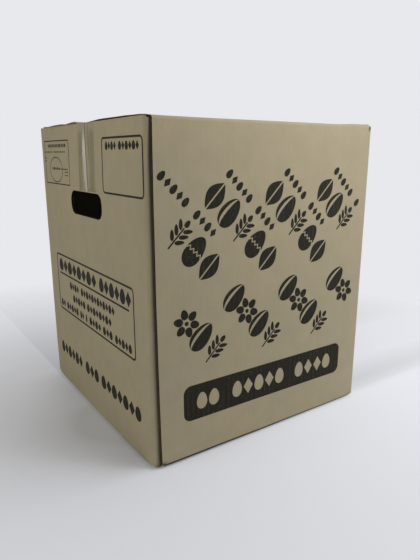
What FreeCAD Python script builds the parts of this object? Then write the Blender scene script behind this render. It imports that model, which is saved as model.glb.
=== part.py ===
import FreeCAD, Part
import math
import os

# Egg box: a regular slotted carton, folded from one blank of corrugated board and taped shut.
# Millimetres, +Z up. X runs along the front panel and Y from front to back. The origin is in
# the middle of the underside, on the surface that the box stands on.

# ---- Driving dimensions of the folded box, over its outer faces
LENGTH = 300.0               # X, front panel from end face to end face
DEPTH = 305.0                # Y, end panel from front face to back face
HEIGHT = 350.0               # Z, front panel from its bottom fold to its top fold
BOARD = 3.0                  # thickness of the corrugated board

# ---- Folds, slots and gaps between the flaps
FOLD_INNER_RADIUS = 0.4      # inner radius of a pressed fold
SLOT_OVERRUN = 0.4           # how far a slot runs past the start of the flap's fold
LAYER_GAP = 0.4              # air between two layers of board that aren't glued
RIDE_RUN = 26.0              # a top outer flap climbs onto the inner flaps within this depth
INNER_INSET = 12.0           # from the front and back faces to the inner flaps' side edges
SEAM_GAP = 1.0               # between the front flap and the back flap
INNER_FLAP_GAP = 12.0        # least gap between the left flap and the right flap

# ---- Glued corner, between the front panel and the left panel
ROLL_INNER_RADIUS = 2.2      # inner radius of the soft roll from the left panel to the glue tab
TAB_EXPOSED = 1.8            # flat tab in view between the roll and the front panel's cut edge
TAB_WIDTH = 36.0             # from the left face to the tab's free edge
TAB_CLEARANCE = 2.6          # between the tab's ends and the inner flaps
TAB_TAPER = 12.0             # the tab's free edge is this much shorter, each end, than its root

# ---- Hand holes, one punched through each end panel
HOLE_WIDTH = 94.0
HOLE_HEIGHT = 28.0
HOLE_CORNER = 12.0           # corner radius
HOLE_DROP = 75.5             # from the top of the box to the hole's upper edge

# ---- Clear packing tape
TAPE_WIDTH = 50.0
TAPE_THICKNESS = 0.1
TAPE_SHIFT = -6.5            # the top strip was laid this far in front of the seam
TAPE_TO_HOLE = 0.6           # the strip's turned-down ends stop this far above the hand holes
TAPE_END_GAP = 9.0           # the bottom strip stops this far short of the outer flaps' ends

# ---- Planes and levels that follow from them
LEFT, RIGHT = -LENGTH / 2, LENGTH / 2
FRONT, BACK = -DEPTH / 2, DEPTH / 2
BOTTOM = TAPE_THICKNESS      # the box stands on its bottom strip of tape
TOP = BOTTOM + HEIGHT        # all four panels fold at this level
MIDDLE = (BOTTOM + TOP) / 2
LAYER = BOARD + LAYER_GAP
LID = TOP + LAYER            # the top outer flaps lie on the inner flaps
FOLD_RADIUS = BOARD + FOLD_INNER_RADIUS
ROLL_RADIUS = BOARD + ROLL_INNER_RADIUS
SLOT_END = TOP - FOLD_RADIUS - SLOT_OVERRUN
CUT_EDGE = LEFT + ROLL_RADIUS + TAB_EXPOSED
OUTER_FLAP_END = RIGHT - FOLD_RADIUS - LAYER_GAP
HOLE_TOP = TOP - HOLE_DROP

# Each side's outer plane at its middle, the way inwards, and the way along the panel.
SIDES = {
    "front": (FreeCAD.Vector(0, FRONT, 0), FreeCAD.Vector(0, 1, 0), FreeCAD.Vector(1, 0, 0)),
    "back": (FreeCAD.Vector(0, BACK, 0), FreeCAD.Vector(0, -1, 0), FreeCAD.Vector(1, 0, 0)),
    "left": (FreeCAD.Vector(LEFT, 0, 0), FreeCAD.Vector(1, 0, 0), FreeCAD.Vector(0, 1, 0)),
    "right": (FreeCAD.Vector(RIGHT, 0, 0), FreeCAD.Vector(-1, 0, 0), FreeCAD.Vector(0, 1, 0)),
}
# Where the two side edges of each flap lie along its panel.
FLAP_EDGES = {
    "front": (CUT_EDGE, OUTER_FLAP_END),
    "back": (-OUTER_FLAP_END, OUTER_FLAP_END),
    "left": (FRONT + BOARD + ROLL_RADIUS, BACK - LAYER),
    "right": (FRONT + LAYER, BACK - LAYER),
}
UP = FreeCAD.Vector(0, 0, 1)


def line(start, end):
    return Part.LineSegment(start, end).toShape()


def arc(centre, towards_start, towards_end):
    """A quarter circle or less about centre, between the tips of two equally long vectors."""
    between = (towards_start + towards_end).normalize() * towards_start.Length
    return Part.Arc(centre + towards_start, centre + between, centre + towards_end).toShape()


def lines(points):
    return [line(start, end) for start, end in zip(points, points[1:])]


def prism(edges, along):
    return Part.Face(Part.Wire(edges)).extrude(along)


# ---- Walls: one open strip of board that starts at the cut edge and goes round all four sides
def rounded_run(corners, radii):
    """Edges through corners in the XY plane, with each inner corner rounded to its radius."""
    edges = []
    start = corners[0]
    for before, corner, after, radius in zip(corners, corners[1:], corners[2:], radii):
        back_way = (before - corner).normalize() * radius
        on_way = (after - corner).normalize() * radius
        edges.append(line(start, corner + back_way))
        edges.append(arc(corner + back_way + on_way, on_way * -1, back_way * -1))
        start = corner + on_way
    edges.append(line(start, corners[-1]))
    return edges


def wall_corners(depth, roll_end):
    """Corners of the line that lies depth inside the walls' outer face, at the slots' lower end."""
    low = TOP + BOTTOM - SLOT_END
    points = [
        (CUT_EDGE, FRONT + depth),
        (RIGHT - depth, FRONT + depth),
        (RIGHT - depth, BACK - depth),
        (LEFT + depth, BACK - depth),
        (LEFT + depth, FRONT + BOARD + depth),
        (roll_end, FRONT + BOARD + depth),
    ]
    return [FreeCAD.Vector(x, y, low) for x, y in points]


def walls():
    roll_end = LEFT + ROLL_RADIUS + TAB_EXPOSED / 2
    outer = wall_corners(0, roll_end)
    inner = wall_corners(BOARD, roll_end)
    edges = rounded_run(outer, [FOLD_RADIUS] * 3 + [ROLL_RADIUS])
    edges += rounded_run(inner, [FOLD_INNER_RADIUS] * 3 + [ROLL_INNER_RADIUS])
    edges += [line(outer[0], inner[0]), line(outer[-1], inner[-1])]
    rise = FreeCAD.Vector(0, 0, 2 * (SLOT_END - MIDDLE))
    return Part.Face(Part.Wire(Part.__sortEdges__(edges))).extrude(rise)


def glue_tab():
    """The left panel's tab: flat behind the front panel, glued to it, with tapered ends."""
    root_x = LEFT + ROLL_RADIUS
    free_x = LEFT + TAB_WIDTH
    root_half = TOP - LAYER - BOARD - TAB_CLEARANCE - MIDDLE
    free_half = root_half - TAB_TAPER
    outline = [(root_x, -root_half), (free_x, -free_half), (free_x, free_half), (root_x, root_half)]
    points = [FreeCAD.Vector(x, FRONT + BOARD, MIDDLE + z) for x, z in outline]
    return prism(lines(points + points[:1]), FreeCAD.Vector(0, BOARD, 0))


# ---- Flaps: each rises from its wall, turns a quarter fold and lies flat. They are made for the
# top of the box, and the bottom ones are turned upside down afterwards.
OUTER_SIDES = ("front", "back")
INNER_SIDES = ("left", "right")


def flap(side, fold_top, climb, reach):
    """A flap whose fold tops out at fold_top, and which then climbs to lie that much higher."""
    origin, inward, along = SIDES[side]
    first, last = FLAP_EDGES[side]

    def at(depth, z):
        return origin + inward * depth + UP * z + along * first

    wall_top = fold_top - FOLD_RADIUS - SLOT_OVERRUN
    centre = at(FOLD_RADIUS, fold_top - FOLD_RADIUS)
    upper = [(FOLD_RADIUS, fold_top), (RIDE_RUN, fold_top + climb), (reach, fold_top + climb)]
    lower = [(depth, z - BOARD) for depth, z in reversed(upper)]
    section = lines([at(0, wall_top), at(0, centre.z)])
    section.append(arc(centre, inward * -FOLD_RADIUS, UP * FOLD_RADIUS))
    section += lines([at(depth, z) for depth, z in upper + lower])
    section.append(arc(centre, UP * FOLD_INNER_RADIUS, inward * -FOLD_INNER_RADIUS))
    section += lines([at(BOARD, centre.z), at(BOARD, wall_top), at(0, wall_top)])
    return prism(section, along * (last - first))


def pressed_room(side, fold_top, climb):
    """What a climbing outer flap of this side takes from the inner flaps, its clearance too."""
    origin, inward, along = SIDES[side]
    first, last = FLAP_EDGES[side]
    corners = [
        (FOLD_RADIUS, fold_top - LAYER),
        (RIDE_RUN, fold_top + climb - LAYER),
        (RIDE_RUN, fold_top + climb),
        (FOLD_RADIUS, fold_top + climb),
        (FOLD_RADIUS, fold_top - LAYER),
    ]
    start = origin + along * (first - LAYER_GAP)
    points = [start + inward * depth + UP * z for depth, z in corners]
    return prism(lines(points), along * (last - first + 2 * LAYER_GAP))


def relief(side, sign, fold_top, reach):
    """The strip at one side edge by which an inner flap's flat part is narrower than its fold."""
    origin, inward, along = SIDES[side]
    start = origin + inward * FOLD_RADIUS + UP * (fold_top - BOARD) + along * (sign * DEPTH / 2)
    across = along * (sign * -INNER_INSET)
    points = [start, start + inward * reach, start + inward * reach + across, start + across, start]
    return prism(lines(points), UP * BOARD)


def flaps(inner_top, climb):
    """Four flaps of one end of the box: the inner ones fold at inner_top, the outer ones at TOP."""
    outer_reach = (DEPTH - SEAM_GAP) / 2
    inner_reach = min(outer_reach, (LENGTH - INNER_FLAP_GAP) / 2)
    made = [flap(side, TOP, climb, outer_reach) for side in OUTER_SIDES]
    for side in INNER_SIDES:
        inner = flap(side, inner_top, 0, inner_reach)
        for sign in (-1, 1):
            inner = inner.cut(relief(side, sign, inner_top, inner_reach))
        for outer_side in OUTER_SIDES:
            inner = inner.cut(pressed_room(outer_side, TOP, climb))
        made.append(inner)
    return made


def end_wall_room(side, inner_top):
    """An end wall's upper part, between the side edges of the inner flap that takes its place."""
    origin, inward, along = SIDES[side]
    first, last = FLAP_EDGES[side]
    low = origin + along * first + UP * (inner_top - FOLD_RADIUS - SLOT_OVERRUN)
    points = [low, low + inward * BOARD, low + inward * BOARD + UP * LAYER, low + UP * LAYER, low]
    return prism(lines(points), along * (last - first))


def upside_down(shape):
    return shape.mirror(FreeCAD.Vector(0, 0, MIDDLE), UP)


# ---- Hand holes: rounded slots, each in the middle of its own panel
def hand_hole(face_x, middle_y):
    half_width = HOLE_WIDTH / 2
    half_height = HOLE_HEIGHT / 2
    corner = min(HOLE_CORNER, half_height - 0.01)
    centre = FreeCAD.Vector(face_x, middle_y, HOLE_TOP - half_height)
    y_way = FreeCAD.Vector(0, 1, 0)
    edges = []
    for y_sign, z_sign in ((1, 1), (-1, 1), (-1, -1), (1, -1)):
        y_out, z_out = y_way * y_sign, UP * z_sign
        middle = centre + y_out * (half_width - corner) + z_out * (half_height - corner)
        edges.append(arc(middle, y_out * corner, z_out * corner))
        edges.append(line(middle + z_out * corner, centre + z_out * half_height))
        edges.append(line(middle + y_out * corner, centre + y_out * half_width))
    outline = Part.Wire(Part.__sortEdges__(edges))
    return Part.Face(outline).extrude(FreeCAD.Vector(BOARD * 3, 0, 0))


def carton():
    pressed_flat = TOP - LAYER   # at the bottom, the box's weight keeps the outer flaps level
    body = walls()
    for side in INNER_SIDES:
        body = body.cut(upside_down(end_wall_room(side, pressed_flat)))
    bottom_flaps = [upside_down(each) for each in flaps(pressed_flat, 0)]
    body = body.fuse([glue_tab()] + flaps(TOP, LAYER) + bottom_flaps)
    left_middle = (FRONT + BOARD + BACK) / 2
    body = body.cut(hand_hole(LEFT - BOARD, left_middle)).cut(hand_hole(RIGHT - BOARD * 2, 0))
    return body.removeSplitter()


# ---- Tape
def tape_half_section():
    """Half of the top strip in XZ: flat on the flaps, over their ends, down the right panel."""
    def at(x, z):
        return FreeCAD.Vector(x, FRONT, z)

    flap_end = at(OUTER_FLAP_END, LID)
    centre = at(RIGHT - FOLD_RADIUS, TOP - FOLD_RADIUS)
    rise = flap_end - centre
    # The strip leaves the flap's upper edge straight for where it first touches the inner fold.
    turn = math.atan2(rise.x, rise.z) + math.acos(FOLD_RADIUS / rise.Length)
    normal = FreeCAD.Vector(math.sin(turn), 0, math.cos(turn))
    out = FreeCAD.Vector(1, 0, 0)
    mitre = (UP + normal) * (TAPE_THICKNESS / (1 + normal.z))
    outer_radius = FOLD_RADIUS + TAPE_THICKNESS
    end_z = HOLE_TOP + TAPE_TO_HOLE
    section = lines([at(0, LID), flap_end, centre + normal * FOLD_RADIUS])
    section.append(arc(centre, normal * FOLD_RADIUS, out * FOLD_RADIUS))
    section += lines([
        at(RIGHT, centre.z),
        at(RIGHT, end_z),
        at(RIGHT + TAPE_THICKNESS, end_z),
        at(RIGHT + TAPE_THICKNESS, centre.z),
    ])
    section.append(arc(centre, out * outer_radius, normal * outer_radius))
    section += lines([
        centre + normal * outer_radius,
        flap_end + mitre,
        at(0, LID + TAPE_THICKNESS),
        at(0, LID),
    ])
    return section


def top_tape():
    half = prism(tape_half_section(), FreeCAD.Vector(0, TAPE_WIDTH, 0))
    half.translate(FreeCAD.Vector(0, TAPE_SHIFT - TAPE_WIDTH / 2 - FRONT, 0))
    other = half.mirror(FreeCAD.Vector(0, 0, 0), FreeCAD.Vector(1, 0, 0))
    return half.fuse(other).removeSplitter()


def bottom_tape():
    reach = OUTER_FLAP_END - TAPE_END_GAP
    size = (2 * reach, TAPE_WIDTH, TAPE_THICKNESS)
    return Part.makeBox(*size, FreeCAD.Vector(-reach, -TAPE_WIDTH / 2, 0))


os.makedirs("parts", exist_ok=True)
for node, make in (("carton", carton), ("top_tape", top_tape), ("bottom_tape", bottom_tape)):
    shape = make()
    solids = shape.Solids
    print(node, len(solids), "solid,", round(shape.Volume), "mm3, valid:", shape.isValid())
    solids[0].exportStep(f"parts/{node}.step")
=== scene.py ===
import math

import bmesh
import bpy
import numpy as np
from mathutils import Euler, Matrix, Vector

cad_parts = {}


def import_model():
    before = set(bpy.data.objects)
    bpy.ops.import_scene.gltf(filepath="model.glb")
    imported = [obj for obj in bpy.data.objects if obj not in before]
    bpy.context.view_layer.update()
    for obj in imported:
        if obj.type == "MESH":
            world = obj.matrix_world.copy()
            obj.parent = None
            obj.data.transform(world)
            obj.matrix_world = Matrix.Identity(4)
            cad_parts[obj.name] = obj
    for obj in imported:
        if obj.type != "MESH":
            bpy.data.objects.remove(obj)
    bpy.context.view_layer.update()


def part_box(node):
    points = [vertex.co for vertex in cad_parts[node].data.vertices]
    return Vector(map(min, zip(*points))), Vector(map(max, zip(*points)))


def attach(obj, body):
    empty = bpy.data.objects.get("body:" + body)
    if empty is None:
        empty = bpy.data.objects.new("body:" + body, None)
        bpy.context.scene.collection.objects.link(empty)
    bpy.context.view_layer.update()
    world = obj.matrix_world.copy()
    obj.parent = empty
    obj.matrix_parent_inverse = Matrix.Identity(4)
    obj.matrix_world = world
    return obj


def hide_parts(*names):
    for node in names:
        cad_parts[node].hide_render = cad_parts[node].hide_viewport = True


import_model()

# Egg box: a taped carton of corrugated board. Metres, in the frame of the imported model.

# ---- Sizes of the carton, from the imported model
MM = 0.001
BOARD_LOW, BOARD_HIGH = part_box("carton")
TAPE_LOW, TAPE_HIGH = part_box("top_tape")
STRIP_LOW, STRIP_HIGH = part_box("bottom_tape")
LEFT, RIGHT = BOARD_LOW.x, BOARD_HIGH.x
FRONT, BACK = BOARD_LOW.y, BOARD_HIGH.y
BASE, LID = BOARD_LOW.z, BOARD_HIGH.z
BOARD = 3.0 * MM
LAYER = 3.4 * MM                 # board and the air over it
TOP = LID - LAYER                # the four top folds
FOLD = 3.4 * MM                  # outer radius of a fold
CREASE = 1.6 * MM                # outer radius of an upright corner
ROLL = 5.2 * MM                  # outer radius of the roll at the glued corner
CUT_EDGE = LEFT + 7.0 * MM       # the front panel's free edge
SLOT_LOW, SLOT_HIGH = BASE + 3.8 * MM, TOP - 3.8 * MM
OUTER_END = RIGHT - 3.8 * MM     # side edge of an outer flap
REACH = (BACK - FRONT) / 2 - 0.5 * MM
INNER_REACH = (RIGHT - LEFT) / 2 - 6 * MM
INNER_INSET = 12 * MM            # an inner flap's side edges, from the front and back faces
TAB_WIDTH = 36 * MM              # from the left face to the glue tab's free edge
PITCH = 6.55 * MM                # from flute to flute

# ---- Hand holes
HOLE_WIDTH, HOLE_HEIGHT, HOLE_CORNER = 94 * MM, 28 * MM, 12 * MM
HOLE_Z = TAPE_LOW.z - 0.6 * MM - HOLE_HEIGHT / 2
HOLE_ALONG = {"left": 1.5 * MM, "right": 0.0}
HOLE_FRAME = 6 * MM              # plain rim kept round the hole in the panel's mesh
HOLE_CORE = np.array([HOLE_WIDTH / 2, HOLE_HEIGHT / 2]) - HOLE_CORNER

# ---- Surface
SKIN = 0.16 * MM                 # the board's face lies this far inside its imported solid
WAVE = 0.22 * MM                 # and wanders in by up to this much more
LID_WAVE = 0.1 * MM
END_SAG, END_SAG_WIDTH = 0.55 * MM, 34 * MM      # both end panels give way under the tape
LEFT_SAG, LEFT_SAG_WIDTH = 1.0 * MM, 75 * MM     # and the left one more, at its top
FLUTE_DEPTH = 2.4 * MM           # how far the open flute of a cut edge reaches in
PAPER = 0.13 * MM                # half of the wavy paper in it, as drawn
TOOTH, TOOTH_PITCH = 1.0 * MM, 2.1 * MM          # of the tape's cut ends
INSIDE_SHADE = 0.8                # painted shade: the closed box's inside is unlit
INK, INK_LIFT = 0.03 * MM, 0.05 * MM
FILM, FILM_LIFT = 0.07 * MM, 0.03 * MM
TAPE_MIDDLE = (TAPE_LOW.y + TAPE_HIGH.y) / 2
TAPE_END = TAPE_LOW.z

SIDES = {                        # a point of the face, the way in, the way along
    "front": ((0, FRONT), (0, 1), (1, 0)),
    "back": ((0, BACK), (0, -1), (1, 0)),
    "left": ((LEFT, 0), (1, 0), (0, 1)),
    "right": ((RIGHT, 0), (-1, 0), (0, 1)),
}
SPAN = {                         # where a panel's flat part starts and ends along it
    "front": (CUT_EDGE, RIGHT - FOLD),
    "back": (LEFT + FOLD, RIGHT - FOLD),
    "left": (FRONT + BOARD + ROLL, BACK - FOLD),
    "right": (FRONT + FOLD, BACK - FOLD),
}
SEEDS = {"front": 11, "back": 12, "left": 13, "right": 14, "front_lid": 31, "back_lid": 32}
OUTER_SIDES = ("front", "back")
QUARTER = math.pi / 2


# ---- Small curves and fields
def knots(x, *pairs):
    """Straight lines between (x, value) pairs in millimetres, softened at the bends."""
    xs, values = np.array(pairs, float).T * MM
    shifts = np.linspace(-1, 1, 9) * 4 * MM
    return np.mean([np.interp(x + shift, xs, values) for shift in shifts], 0)


def joined(*parts):
    """Points from their coordinates, which are spread to one shape."""
    return np.stack(np.broadcast_arrays(*parts), -1)


def rays(angle):
    return joined(np.cos(angle), np.sin(angle))


def path_length(points):
    """How far along a line each of its points lies."""
    return np.append(0, np.cumsum(np.linalg.norm(np.diff(points, axis=0), axis=1)))


def resampled(line, way, even):
    """A line's points at even, where its own points lie at way."""
    return joined(*(np.interp(even, way, values) for values in line.T))


def blend(first, second, share):
    """first where share is 1, second where it is 0."""
    return first * share + second * (1 - share)


def step(x, start, end):
    t = np.clip((x - start) / (end - start), 0, 1)
    return t * t * (3 - 2 * t)


def bell(x, width, power=2):
    """1 at 0, and less and less away from it on both sides."""
    return np.exp(-np.abs(x / width) ** power)


def wander(u, v, seed, waves=7):
    """A slow field from 0 to 1, made of waves 70 to 240 mm long."""
    rng = np.random.default_rng(seed)
    total = 0 * (u + v)
    for _ in range(waves):
        turn, phase = rng.uniform(0, 2 * math.pi, 2)
        length = rng.uniform(0.07, 0.24)
        way = u * math.cos(turn) + v * math.sin(turn)
        total = total + np.sin(way * 2 * math.pi / length + phase)
    return np.clip(0.5 + total / waves * 0.9, 0, 1)


def sunk(side, along, z):
    """How far a wall's face lies inside its packed face: the ends give way under the tape."""
    depth = SKIN + WAVE * wander(along, z, SEEDS[side])
    if side not in OUTER_SIDES:
        depth = depth + END_SAG * bell(along - TAPE_MIDDLE, END_SAG_WIDTH) * step(z, 0.2, 0.28)
    if side == "left":
        depth = depth + LEFT_SAG * bell(along, LEFT_SAG_WIDTH, 4) * step(z, 0.262, 0.345)
    return depth


def place(side, along, depth, z):
    """Points at a distance along a side, a depth in from its face, and a height."""
    (ox, oy), (ix, iy), (ax, ay) = SIDES[side]
    return joined(ox + ix * depth + ax * along, oy + iy * depth + ay * along, z)


def inward(side, depth_part, z_part):
    """Directions with a part into the box and a part upwards."""
    ix, iy = SIDES[side][1]
    return joined(ix * depth_part, iy * depth_part, z_part)


# ---- Heights of the closed lid
def front_lid(x, y):
    """Upper face of the front flap, which rides up on the inner flaps behind its fold."""
    back = y - FRONT
    edge = knots(back, (0, 0), (3.4, 0), (9, 1.0), (16.5, 1.75), (24.5, 2.2), (32, 2.25), (38, 2.15),
                 (50, 2.45), (60, 2.5), (72, 2.4), (79, 2.3), (93, 2.5), (117, 2.5), (126, 2.25),
                 (136, 1.6), (146, 1.2), (153, 0.75))
    middle = knots(back, (0, 0), (3.4, 0), (12, 0.1), (26, 0.6), (60, 2.2), (110, 2.5), (130, 1.8),
                   (153, 0.8))
    rise = blend(edge, middle, bell(x - LEFT, 40 * MM, 1))
    crest = knots(x, (-150, 0), (-130, -0.15), (-110, -0.3), (85, -0.35), (103, -0.1), (110, 0.4),
                  (118, 0.6), (130, 0.75), (138, 0.7), (143, 1.2), (150, 1.0))
    return TOP + rise + crest * np.exp(-back / (30 * MM)) - LID_WAVE * wander(x, y, SEEDS["front_lid"])


def back_lid(x, y):
    """Upper face of the back flap, whose fold stands a little higher."""
    back = BACK - y
    fold = 1.6 * MM - 0.9 * MM * (x - LEFT) / (RIGHT - LEFT)
    edge = knots(y, (0, 0.5), (9, 0.3), (17, 0.3), (21, 0.5), (28, 2.6), (36, 3.3), (43, 2.9), (50, 1.9),
                 (58, 0.8), (66, 1.3), (80, 2.25), (92, 2.0), (103, 2.0), (116, 1.65), (128, 1.05),
                 (141, 1.4), (153, 1.5))
    middle = knots(back, (0, 0.8), (3.4, 0.8), (26, 1.6), (60, 2.6), (105, 2.9), (125, 2.0), (140, 0.8),
                   (153, 0.6))
    rise = blend(edge, middle, bell(x - LEFT, 30 * MM, 1))
    level = blend(rise, fold, step(back, FOLD, 20 * MM))
    return TOP + level - LID_WAVE * wander(x, y, SEEDS["back_lid"])


def lid(x, y):
    return np.where(y < 0, front_lid(x, y), back_lid(x, y))


def inner_lid(x, y):
    """Upper face of the two inner flaps, pressed down where an outer flap needs the room."""
    covered = step(np.abs(x), RIGHT - FOLD, OUTER_END - 3 * MM)
    room = lid(np.clip(x, CUT_EDGE, OUTER_END), y) - BOARD - 0.15 * MM - TOP
    return TOP + np.minimum(room, 0) * covered


def fold_level(side, along):
    """Crest of a panel's top fold."""
    if side == "front":
        return front_lid(along, FRONT)
    if side == "back":
        return back_lid(along, BACK)
    return TOP


def leaned(points):
    """The carton isn't quite square: its far left corner leans in towards the floor."""
    x, y, z = points.T
    lean = knots(z, (0, 3.8), (20, 3.6), (40, 2.1), (60, 1.5), (80, 1.5), (100, 1.1), (130, 0.9),
                 (160, 0.8), (190, 0.3), (220, 0), (280, 0), (310, 0.4), (360, 0.3))
    away = np.hypot(x - LEFT, y - BACK)
    return joined(x, y - lean * bell(away, 60 * MM, 1), z)


# ---- Building a mesh from grids of points
GRID_EDGES = (np.s_[:, 0], np.s_[:, -1], np.s_[0], np.s_[-1])    # first and last column, then row


def add_object(name, data):
    made = bpy.data.objects.new(name, data)
    bpy.context.scene.collection.objects.link(made)
    return made


class Sheet:
    """Grids of points that become one mesh. Every corner keeps its place on the flat board, in metres."""

    def __init__(self):
        self.points, self.faces, self.finishes, self.flat, self.painted_shade = [], [], [], [], []

    def grid(self, points, towards, finish, flat, keep=None, painted_shade=0.0):
        """Quads over a rows x columns grid. towards is where the faces look; painted_shade darkens them with
        painted shade.
        """
        points = np.asarray(points, float)
        rows, columns = points.shape[:2]
        start = len(self.points)
        self.points.extend(points.reshape(-1, 3))
        self.painted_shade.extend(np.broadcast_to(painted_shade, (rows, columns)).reshape(-1))
        flat = np.broadcast_to(flat, (rows, columns, 2)).reshape(-1, 2)
        index = np.arange(rows * columns).reshape(rows, columns)
        quads = joined(index[:-1, :-1], index[:-1, 1:], index[1:, 1:], index[1:, :-1])
        a, b, c, d = (points.reshape(-1, 3)[quads[..., i]] for i in range(4))
        normal = np.cross(c - a, d - b)
        towards = np.broadcast_to(towards, (rows, columns, 3))[:-1, :-1]
        if (normal * towards).sum() < 0:
            quads = quads[..., ::-1]
        chosen = quads.reshape(-1, 4) if keep is None else quads[keep]
        self.faces.extend((chosen + start).tolist())
        self.finishes.extend([finish] * len(chosen))
        self.flat.extend(flat[chosen.reshape(-1)])

    def board(self, outer, inner, normal, flat, keep=None, painted_shade=0.0):
        """Both faces of a piece of board."""
        self.grid(outer, normal, "liner", flat, keep, painted_shade)
        # the inner face gets painted shade for the closed box's unlit inside
        self.grid(inner, -normal, "inside", flat, keep, INSIDE_SHADE)

    def ribbon(self, first, second, towards, finish, flat):
        """One row of quads between two lines of points."""
        self.grid([first, second], towards, finish, np.stack([flat, flat]))

    def rim(self, over, under, finish, flat, ways):
        """Closes the edges between two grids. ways says where each of the four looks."""
        for cut, way in zip(GRID_EDGES, ways):
            self.ribbon(over[cut], under[cut], way, finish, flat[cut])

    def build(self, name, materials, merge=1e-6, sharp=40):
        mesh = bpy.data.meshes.new(name)
        mesh.from_pydata([tuple(p) for p in leaned(np.array(self.points))], [], self.faces)
        # painted shade: a darkening carried at each point, which the board materials mix in
        painted_shade = mesh.attributes.new("painted_shade", "FLOAT", "POINT")
        painted_shade.data.foreach_set("value", np.array(self.painted_shade, np.float32))
        names = list(materials)
        for key in names:
            mesh.materials.append(materials[key])
        mesh.polygons.foreach_set("material_index", [names.index(f) for f in self.finishes])
        layer = mesh.uv_layers.new(name="board")
        layer.uv.foreach_set("vector", np.array(self.flat, np.float32).ravel())
        made = add_object(name, mesh)
        if merge:
            work = bmesh.new()
            work.from_mesh(mesh)
            bmesh.ops.remove_doubles(work, verts=work.verts, dist=merge)
            bmesh.ops.dissolve_degenerate(work, edges=work.edges, dist=merge)
            loose = [v for v in work.verts if not v.link_faces]
            bmesh.ops.delete(work, geom=loose, context="VERTS")
            work.to_mesh(mesh)
            work.free()
        mesh.polygons.foreach_set("use_smooth", [True] * len(mesh.polygons))
        mesh.set_sharp_from_angle(angle=math.radians(sharp))
        return made


def rounded_box(core, corner, count):
    """A closed loop round a box, with arcs of count points about the corners of its core."""
    arcs = []
    for quarter, sign in enumerate(((1, 1), (-1, 1), (-1, -1), (1, -1))):
        angle = np.linspace(0, QUARTER, count) + quarter * QUARTER
        arcs.append(rays(angle) * corner + core * sign)
    return np.concatenate(arcs + [arcs[0][:1]])


def raw_edge(sheet, outer, inner, into, deep, flat, lip=0.11, lining="crevice", rim="edge",
             closed=False):
    """A cut edge: two liners with the open flute between them, lined with a finish dark with painted shade. A
    run that isn't closed has shut ends.
    """
    deep = np.full(len(outer), deep)
    if not closed:
        deep[[0, -1]] = 0
    across = inner - outer
    lips = (outer + across * lip, inner - across * lip)
    floors = [each + into * deep[:, None] for each in lips]
    for start, end, look, finish in (
        (outer, lips[0], -into, rim),
        (lips[1], inner, -into, rim),
        (lips[0], floors[0], across, lining),
        (floors[0], floors[1], -into, lining),
        (floors[1], lips[1], -across, lining),
    ):
        sheet.ribbon(start, end, look, finish, flat)


def flute_edge(sheet, outer, inner, into, across_flutes, deep=2.2 * MM, finish="edge"):
    """The wavy middle paper that shows in an edge cut across the flutes."""
    half = (inner - outer) / 2
    swing = np.sin(across_flutes * 2 * math.pi / PITCH)[:, None] * half * 0.72
    paper = half / np.linalg.norm(half, axis=1)[:, None] * PAPER
    start = (outer + inner) / 2 + swing + into * 0.15 * MM
    end = start + into * deep
    flat = joined(across_flutes, across_flutes)
    sheet.ribbon(start - paper, end - paper, -paper, finish, flat)
    sheet.ribbon(start + paper, end + paper, paper, finish, flat)
    sheet.ribbon(start - paper, start + paper, -into, finish, flat)


# ---- The four panels, each with its bottom flap and its top flap
FLAP_DEPTHS = np.array([5, 7, 9.5, 12.5, 16, 20, 25, 31, 39, 49, 61, 75, 90, 105, 120, 133, 143]) * MM
HOLE_HALF = HOLE_HEIGHT / 2 + HOLE_FRAME
HOLE_ROWS = np.linspace(HOLE_Z - HOLE_HALF, HOLE_Z + HOLE_HALF, 21)
BELOW_HOLE, BESIDE_HOLE, HOLE_COLUMNS = 40, 16, 57
WALL_ROWS = np.concatenate([
    [SLOT_LOW, SLOT_LOW + 0.6 * MM],
    np.linspace(BASE + 8 * MM, HOLE_ROWS[0] - 6 * MM, BELOW_HOLE - 2),
    HOLE_ROWS,
    np.linspace(HOLE_ROWS[-1] + 6 * MM, TOP - 8 * MM, 11),
    [SLOT_HIGH],
])
SHARP_FOLD = (                   # a fold's outer face in fold radii: depth, height left; then its turn
    (0.0, 1.0, 0.0), (0.0, 0.47, 0.0), (0.018, 0.35, 0.26), (0.063, 0.235, 0.52),
    (0.138, 0.138, 0.785), (0.235, 0.063, 1.05), (0.35, 0.018, 1.31), (0.47, 0.0, QUARTER),
    (1.0, 0.0, QUARTER),
)
ROUND_FOLD = tuple((1 - math.cos(t), 1 - math.sin(t), t) for t in np.linspace(0, QUARTER, 9))
SIDE_EDGES = {                   # depth of the open flute, share of each liner, and what lines it, a finish dark with painted shade
    "front": (2.0, 0.13, "flute"),
    "back": (0.5, 0.24, "hollow"),
    "left": (3.0, 0.11, "crevice"),
    "right": (3.0, 0.11, "crevice"),
}


def columns(side):
    """Where a panel's columns of points lie along it, with fine ones beside its hand hole."""
    start, end = SPAN[side]
    if side in OUTER_SIDES:
        inner = np.linspace(start + 6 * MM, end - 6 * MM, 50)
        return np.concatenate([[start, start + 1 * MM, start + 3 * MM], inner, [end - 2 * MM, end]])
    half = HOLE_WIDTH / 2 + HOLE_FRAME
    hole = np.linspace(HOLE_ALONG[side] - half, HOLE_ALONG[side] + half, HOLE_COLUMNS)
    before = np.linspace(start, hole[0], BESIDE_HOLE + 1)[:-1]
    after = np.linspace(hole[-1], end, BESIDE_HOLE + 1)[1:]
    return np.concatenate([before, hole, after])


def free_edge(along, z):
    """How far the front panel wanders along itself, which shows at its free edge."""
    edge = knots(z, (0, 1.95), (12, 1.8), (34, 1.2), (56, 0.9), (70, 0.6), (96, 0.3), (115, -0.1),
                 (134, -0.2), (182, -0.56), (229, -0.6), (273, -0.7), (300, -0.5), (330, -0.35),
                 (342, -0.2), (360, -0.4))
    return edge * np.exp(-(along - CUT_EDGE) / (25 * MM))


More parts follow.
